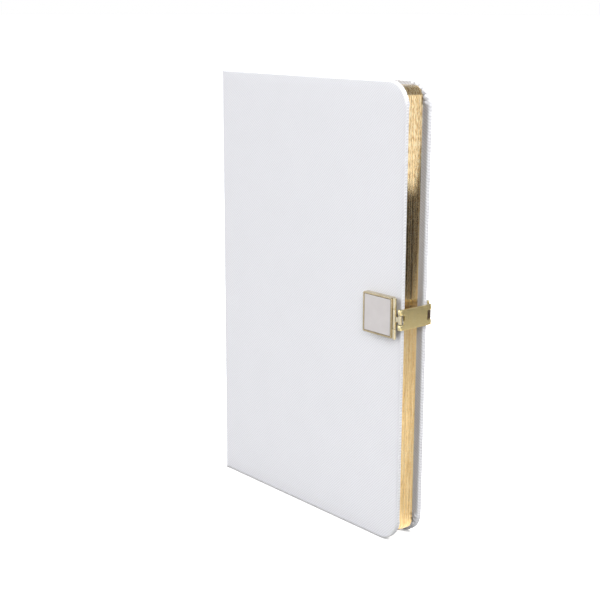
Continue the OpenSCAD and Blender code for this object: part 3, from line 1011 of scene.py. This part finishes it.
# Levels of light in mirror images, as (place, level)
CARD_LEVELS = [(0.0, 1.5), (0.03, 0.98), (0.08, 0.98), (0.16, 1.1), (0.22, 0.92), (0.36, 0.57),
               (0.45, 0.48), (0.475, 0.01), (1.13, 0.01)]   # metres from the book
SKY_LEVELS = [(0.0, 1.05), (0.12, 1.0), (0.22, 0.30), (1.0, 0.36)]   # height of the ray's direction
CARD_TINT = (1.0, 0.93, 0.80)

# The world's light by how nearly a ray points in a direction: (cosine from, to, level from, to)
FRONT_GLARE, FRONT_GLARE_LEVELS = (0.15, -1.0, 0.1), (0.93, 0.97, 1.0, 2.5)
SIDE_LIGHT, SIDE_LIGHT_LEVELS = (-0.8, -0.58, 0.15), (0.45, 1.0, 0.08, 3.65)


def make_camera():
    data = bpy.data.cameras.new("camera")
    data.lens = CAMERA_LENS
    data.sensor_width = 36.0
    data.clip_start, data.clip_end = 0.01, 200.0
    camera = bpy.data.objects.new("camera", data)
    bpy.context.scene.collection.objects.link(camera)
    a, e = math.radians(CAMERA_AZIMUTH), math.radians(CAMERA_ELEVATION)
    back = Vector((math.sin(a) * math.cos(e), -math.cos(a) * math.cos(e), math.sin(e)))
    turn = (-back).to_track_quat("-Z", "Y").to_matrix().to_4x4()
    roll = Matrix.Rotation(math.radians(CAMERA_ROLL), 4, "Z")
    camera.matrix_world = Matrix.Translation(CAMERA_AT) @ turn @ roll
    bpy.context.scene.camera = camera


def stage_plane(name, size, matrix, material):
    """A plane that belongs to the stage and not to the object."""
    mesh = bpy.data.meshes.new(name)
    w, h = size[0] / 2, size[1] / 2
    mesh.from_pydata([(-w, -h, 0), (w, -h, 0), (w, h, 0), (-w, h, 0)], [], [(0, 1, 2, 3)])
    mesh.materials.append(material)
    plane = bpy.data.objects.new(name, mesh)
    plane.matrix_world = matrix
    bpy.context.scene.collection.objects.link(plane)
    return plane


def make_floor():
    """White paper, brighter with distance in mirrors, with a painted contact shadow in a line where
    the book stands.
    """
    n = Nodes("floor_paper")
    place = n.place()
    grain = n.noise(place, 0.02, 2.0)
    away = n.add("ShaderNodeVectorMath", operation="LENGTH")
    n.feed(away.inputs[0], place)
    # Painted shadow: the paper's colour and glow darken where the book stands close.
    contact_shadow = n.add("ShaderNodeAmbientOcclusion", samples=8)
    contact_shadow.inputs["Distance"].default_value = 0.002
    shade = n.range(contact_shadow.outputs["AO"], 0.4, 1.0, 0.35, 1.0)
    ray = n.add("ShaderNodeLightPath").outputs
    seen = ray["Is Camera Ray"]
    far_glow = n.range(away.outputs["Value"], 350.0, 1100.0, 0.25, 1.0)
    far_glow = n.math("MULTIPLY", far_glow, ray["Is Glossy Ray"])
    glow = n.math("MAXIMUM", n.math("MAXIMUM", far_glow, 0.12), seen)
    n.feed(n.shader.inputs["Emission Strength"], n.math("MULTIPLY", glow, shade))
    n.shader.inputs["Emission Color"].default_value = (1.0, 1.0, 1.0, 1.0)
    paper_white = n.mix(grain, (0.9, 0.9, 0.9), (0.94, 0.94, 0.94))
    bounce = n.mix(seen, (0.15, 0.15, 0.15), paper_white)
    n.finish(Base_Color=n.mix(shade, (0.05, 0.05, 0.05), bounce), Roughness=0.9)
    stage_plane("floor", (80.0, 80.0), Matrix.Translation((0, 0, -0.0002)), n.material)


def reflector_card():
    """A card beside the book that only mirror images show: bright near, dark far.

    It goes dark for light that was scattered once, so it lights nothing else.
    """
    length, brightest = CARD_LEVELS[-1][0], 3.0
    material = bpy.data.materials.new("reflector_card")
    material.use_nodes = True
    tree = material.node_tree
    tree.nodes.clear()
    new, join = tree.nodes.new, tree.links.new
    where, parts = new("ShaderNodeTexCoord"), new("ShaderNodeSeparateXYZ")
    levels, glow = new("ShaderNodeValToRGB"), new("ShaderNodeEmission")
    path, out = new("ShaderNodeLightPath"), new("ShaderNodeOutputMaterial")
    join(where.outputs["Object"], parts.inputs[0])
    link_range(tree, parts.outputs[0], (-length / 2, length / 2, 0.0, 1.0), levels.inputs[0])
    set_stops(levels, [(place / length, [level / brightest * part for part in CARD_TINT])
                       for place, level in CARD_LEVELS])
    join(levels.outputs[0], glow.inputs[0])
    link_range(tree, path.outputs["Diffuse Depth"], (0.0, 1.0, brightest, 0.0), glow.inputs[1])
    join(glow.outputs[0], out.inputs[0])
    direction = Vector((0.69, 0.72, 0)).normalized()
    middle = Vector((0.06, 0.0, 0.001)) + direction * length / 2
    angle = math.atan2(direction.y, direction.x)
    matrix = Matrix.Translation(middle) @ Matrix.Rotation(angle, 4, "Z")
    card = stage_plane("reflector_card", (length, 3.0), matrix, material)
    card.visible_camera = False
    card.visible_diffuse = False
    card.visible_shadow = False
    card.visible_transmission = False


def facing_level(tree, where, direction):
    """The cosine of the angle between a ray of the world and a direction."""
    facing = tree.nodes.new("ShaderNodeVectorMath")
    facing.operation = "DOT_PRODUCT"
    tree.links.new(where.outputs["Generated"], facing.inputs[0])
    facing.inputs[1].default_value = Vector(direction).normalized()
    return facing.outputs["Value"]


def link_range(tree, value, numbers, socket):
    """Feed a socket with a value moved from one range to another."""
    level = tree.nodes.new("ShaderNodeMapRange")
    tree.links.new(value, level.inputs[0])
    for entry, number in zip(list(level.inputs)[1:5], numbers):
        entry.default_value = number
    tree.links.new(level.outputs[0], socket)


def mix_shaders(tree, share, first, second):
    mixed = tree.nodes.new("ShaderNodeMixShader")
    for socket, output in zip(mixed.inputs, (share, first, second)):
        tree.links.new(output, socket)
    return mixed.outputs[0]


def make_world():
    """White to the eye, one-sided as light, and in mirrors bright low down and dim above."""
    world = bpy.data.worlds.new("studio")
    bpy.context.scene.world = world
    world.use_nodes = True
    tree = world.node_tree
    tree.nodes.clear()
    new, join = tree.nodes.new, tree.links.new
    where, parts = new("ShaderNodeTexCoord"), new("ShaderNodeSeparateXYZ")
    ramp, path = new("ShaderNodeValToRGB"), new("ShaderNodeLightPath")
    mirror, light, eye = (new("ShaderNodeBackground") for _ in range(3))
    join(where.outputs["Generated"], parts.inputs[0])
    join(parts.outputs[2], ramp.inputs[0])
    set_stops(ramp, [(place, [level] * 3) for place, level in SKY_LEVELS])
    join(ramp.outputs[0], mirror.inputs[0])
    link_range(tree, facing_level(tree, where, FRONT_GLARE), FRONT_GLARE_LEVELS, mirror.inputs[1])
    light.inputs[0].default_value = (0.98, 0.985, 1.0, 1.0)
    link_range(tree, facing_level(tree, where, SIDE_LIGHT), SIDE_LIGHT_LEVELS, light.inputs[1])
    eye.inputs[0].default_value = (1.0, 1.0, 1.0, 1.0)
    lit = mix_shaders(tree, path.outputs["Is Glossy Ray"], light.outputs[0], mirror.outputs[0])
    seen = mix_shaders(tree, path.outputs["Is Camera Ray"], lit, eye.outputs[0])
    join(seen, new("ShaderNodeOutputWorld").inputs[0])


def softbox(name, place, aim, size, power):
    """A rectangular light that mirror images don't show."""
    data = bpy.data.lights.new(name, "AREA")
    data.shape = "RECTANGLE"
    data.size, data.size_y = size
    data.energy = power
    light = bpy.data.objects.new(name, data)
    light.location = place
    light.rotation_mode = "QUATERNION"
    light.rotation_quaternion = (Vector(aim) - Vector(place)).to_track_quat("-Z", "Y")
    light.visible_glossy = False
    bpy.context.scene.collection.objects.link(light)


def make_studio():
    bpy.context.scene.view_settings.view_transform = "Standard"
    make_camera()
    make_floor()
    reflector_card()
    make_world()
    softbox("key_right", (1.25, 0.30, 0.75), BOOK_MIDDLE, (0.6, 0.6), 10.0)
    softbox("front_right", (0.95, -0.60, 0.80), BOOK_MIDDLE, (0.5, 0.5), 6.5)
    softbox("top", (0.0, 0.12, 1.4), (0, 0.12, 0), (0.9, 0.26), 26.0)


make_studio()
for cover_side in ("front", "back"):
    cover_skin(cover_side)
    pastedown(cover_side)
joint_wraps()
leaves()
headbands()
clasp()
dress_cad()
